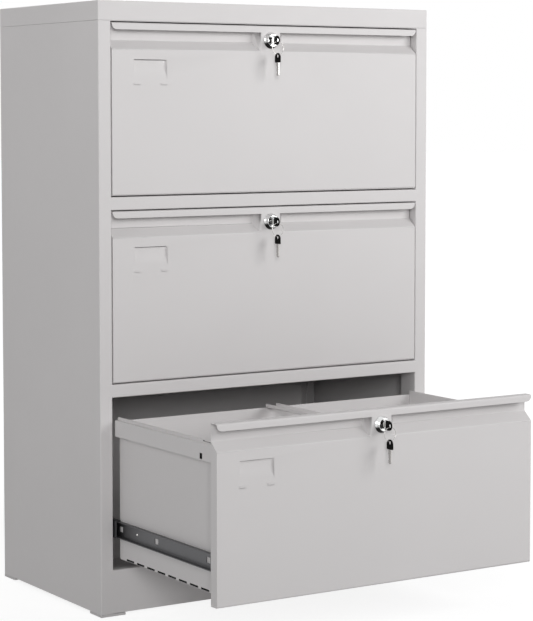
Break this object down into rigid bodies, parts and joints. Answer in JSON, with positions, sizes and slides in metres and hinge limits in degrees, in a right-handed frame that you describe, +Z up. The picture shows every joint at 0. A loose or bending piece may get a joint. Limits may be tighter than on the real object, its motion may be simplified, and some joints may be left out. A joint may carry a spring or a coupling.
{
  "type": "lateral filing cabinet",
  "caption": "Light grey steel lateral filing cabinet with lockable drawers on telescopic slides, recessed pull lips, card pockets and keys; the lowest drawer is pulled out.",
  "frame": {"origin": "floor level, under the centre of the footprint with the bottom drawer pulled out", "axes": "+Z up, +X to the right seen from the front, the drawers open towards -Y"},
  "size_m": [0.72, 0.7876, 1.1],
  "materials": {
    "grey_paint": "satin powder coat, light grey",
    "slide_zinc": "dark zinc plate",
    "chrome": "bright chrome plate",
    "ring_steel": "bright steel wire",
    "key_black": "black moulded key head",
    "foot_plastic": "light grey moulded pad"
  },
  "bodies": {
    "carcass": {"top_cap": "grey_paint", "left_side_panel": "grey_paint", "right_side_panel": "grey_paint", "back_panel": "grey_paint", "base_panel": "grey_paint", "top_rail": "grey_paint", "upper_rail": "grey_paint", "lower_rail": "grey_paint", "front_left_foot": "foot_plastic", "front_right_foot": "foot_plastic", "rear_left_foot": "foot_plastic", "rear_right_foot": "foot_plastic", "top_left_outer_slide": "slide_zinc", "top_right_outer_slide": "slide_zinc", "middle_left_outer_slide": "slide_zinc", "middle_right_outer_slide": "slide_zinc", "bottom_left_outer_slide": "slide_zinc", "bottom_right_outer_slide": "slide_zinc"},
    "top_drawer": {"top_drawer_front": "grey_paint", "top_drawer_tray": "grey_paint", "top_file_rail": "grey_paint", "top_drawer_left_side": "grey_paint", "top_left_inner_slide": "slide_zinc", "top_drawer_right_side": "grey_paint", "top_right_inner_slide": "slide_zinc", "top_lock_housing": "chrome"},
    "top_slide_middles": {"top_left_middle_slide": "slide_zinc", "top_right_middle_slide": "slide_zinc"},
    "top_lock": {"top_lock_plug": "chrome"},
    "top_lock_key": {"top_key": "key_black"},
    "top_ring": {"top_key_ring": "ring_steel"},
    "top_hanging_key": {"top_spare_key": "key_black"},
    "middle_drawer": {"middle_drawer_front": "grey_paint", "middle_drawer_tray": "grey_paint", "middle_file_rail": "grey_paint", "middle_drawer_left_side": "grey_paint", "middle_left_inner_slide": "slide_zinc", "middle_drawer_right_side": "grey_paint", "middle_right_inner_slide": "slide_zinc", "middle_lock_housing": "chrome"},
    "middle_slide_middles": {"middle_left_middle_slide": "slide_zinc", "middle_right_middle_slide": "slide_zinc"},
    "middle_lock": {"middle_lock_plug": "chrome"},
    "middle_lock_key": {"middle_key": "key_black"},
    "middle_ring": {"middle_key_ring": "ring_steel"},
    "middle_hanging_key": {"middle_spare_key": "key_black"},
    "bottom_drawer": {"bottom_drawer_front": "grey_paint", "bottom_drawer_tray": "grey_paint", "bottom_file_rail": "grey_paint", "bottom_drawer_left_side": "grey_paint", "bottom_left_inner_slide": "slide_zinc", "bottom_drawer_right_side": "grey_paint", "bottom_right_inner_slide": "slide_zinc", "bottom_lock_housing": "chrome"},
    "bottom_slide_middles": {"bottom_left_middle_slide": "slide_zinc", "bottom_right_middle_slide": "slide_zinc"},
    "bottom_lock": {"bottom_lock_plug": "chrome"},
    "bottom_lock_key": {"bottom_key": "key_black"},
    "bottom_ring": {"bottom_key_ring": "ring_steel"},
    "bottom_hanging_key": {"bottom_spare_key": "key_black"}
  },
  "joints": [
    {"name": "top_drawer_slide", "type": "slide", "parent": "carcass", "child": "top_drawer", "axis": [0, -1, 0], "range_m": [0, 0.36]},
    {"name": "top_slide_middles_run", "type": "slide", "parent": "carcass", "child": "top_slide_middles", "axis": [0, -1, 0], "range_m": [0, 0.18]},
    {"name": "top_lock_turn", "type": "hinge", "parent": "top_drawer", "child": "top_lock", "pos_m": [0, -0.00625, 1.035], "axis": [0, -1, 0], "range_deg": [0, 90]},
    {"name": "top_key_draw", "type": "slide", "parent": "top_lock", "child": "top_lock_key", "axis": [0, -1, 0], "range_m": [0, 0.025]},
    {"name": "top_ring_swing", "type": "hinge", "parent": "top_lock_key", "child": "top_ring", "pos_m": [0, -0.03025, 1.0326], "axis": [1, 0, 0], "range_deg": [-60, 12]},
    {"name": "top_hanging_key_swing", "type": "hinge", "parent": "top_ring", "child": "top_hanging_key", "pos_m": [0, -0.03025, 1.0086], "axis": [1, 0, 0], "range_deg": [-60, 10]},
    {"name": "middle_drawer_slide", "type": "slide", "parent": "carcass", "child": "middle_drawer", "axis": [0, -1, 0], "range_m": [0, 0.36]},
    {"name": "middle_slide_middles_run", "type": "slide", "parent": "carcass", "child": "middle_slide_middles", "axis": [0, -1, 0], "range_m": [0, 0.18]},
    {"name": "middle_lock_turn", "type": "hinge", "parent": "middle_drawer", "child": "middle_lock", "pos_m": [0, -0.00625, 0.7005], "axis": [0, -1, 0], "range_deg": [0, 90]},
    {"name": "middle_key_draw", "type": "slide", "parent": "middle_lock", "child": "middle_lock_key", "axis": [0, -1, 0], "range_m": [0, 0.025]},
    {"name": "middle_ring_swing", "type": "hinge", "parent": "middle_lock_key", "child": "middle_ring", "pos_m": [0, -0.03025, 0.6981], "axis": [1, 0, 0], "range_deg": [-60, 12]},
    {"name": "middle_hanging_key_swing", "type": "hinge", "parent": "middle_ring", "child": "middle_hanging_key", "pos_m": [0, -0.03025, 0.6741], "axis": [1, 0, 0], "range_deg": [-60, 10]},
    {"name": "bottom_drawer_slide", "type": "slide", "parent": "carcass", "child": "bottom_drawer", "axis": [0, -1, 0], "range_m": [-0.355, 0.005]},
    {"name": "bottom_slide_middles_run", "type": "slide", "parent": "carcass", "child": "bottom_slide_middles", "axis": [0, -1, 0], "range_m": [-0.1775, 0.0025]},
    {"name": "bottom_lock_turn", "type": "hinge", "parent": "bottom_drawer", "child": "bottom_lock", "pos_m": [0, -0.36125, 0.366], "axis": [0, -1, 0], "range_deg": [0, 90]},
    {"name": "bottom_key_draw", "type": "slide", "parent": "bottom_lock", "child": "bottom_lock_key", "axis": [0, -1, 0], "range_m": [0, 0.025]},
    {"name": "bottom_ring_swing", "type": "hinge", "parent": "bottom_lock_key", "child": "bottom_ring", "pos_m": [0, -0.38525, 0.3636], "axis": [1, 0, 0], "range_deg": [-60, 12]},
    {"name": "bottom_hanging_key_swing", "type": "hinge", "parent": "bottom_ring", "child": "bottom_hanging_key", "pos_m": [0, -0.38525, 0.3396], "axis": [1, 0, 0], "range_deg": [-60, 10]}
  ],
  "couplings": [
    {"joint": "top_slide_middles_run", "follows": "top_drawer_slide", "ratio": 0.5},
    {"joint": "middle_slide_middles_run", "follows": "middle_drawer_slide", "ratio": 0.5},
    {"joint": "bottom_slide_middles_run", "follows": "bottom_drawer_slide", "ratio": 0.5}
  ]
}
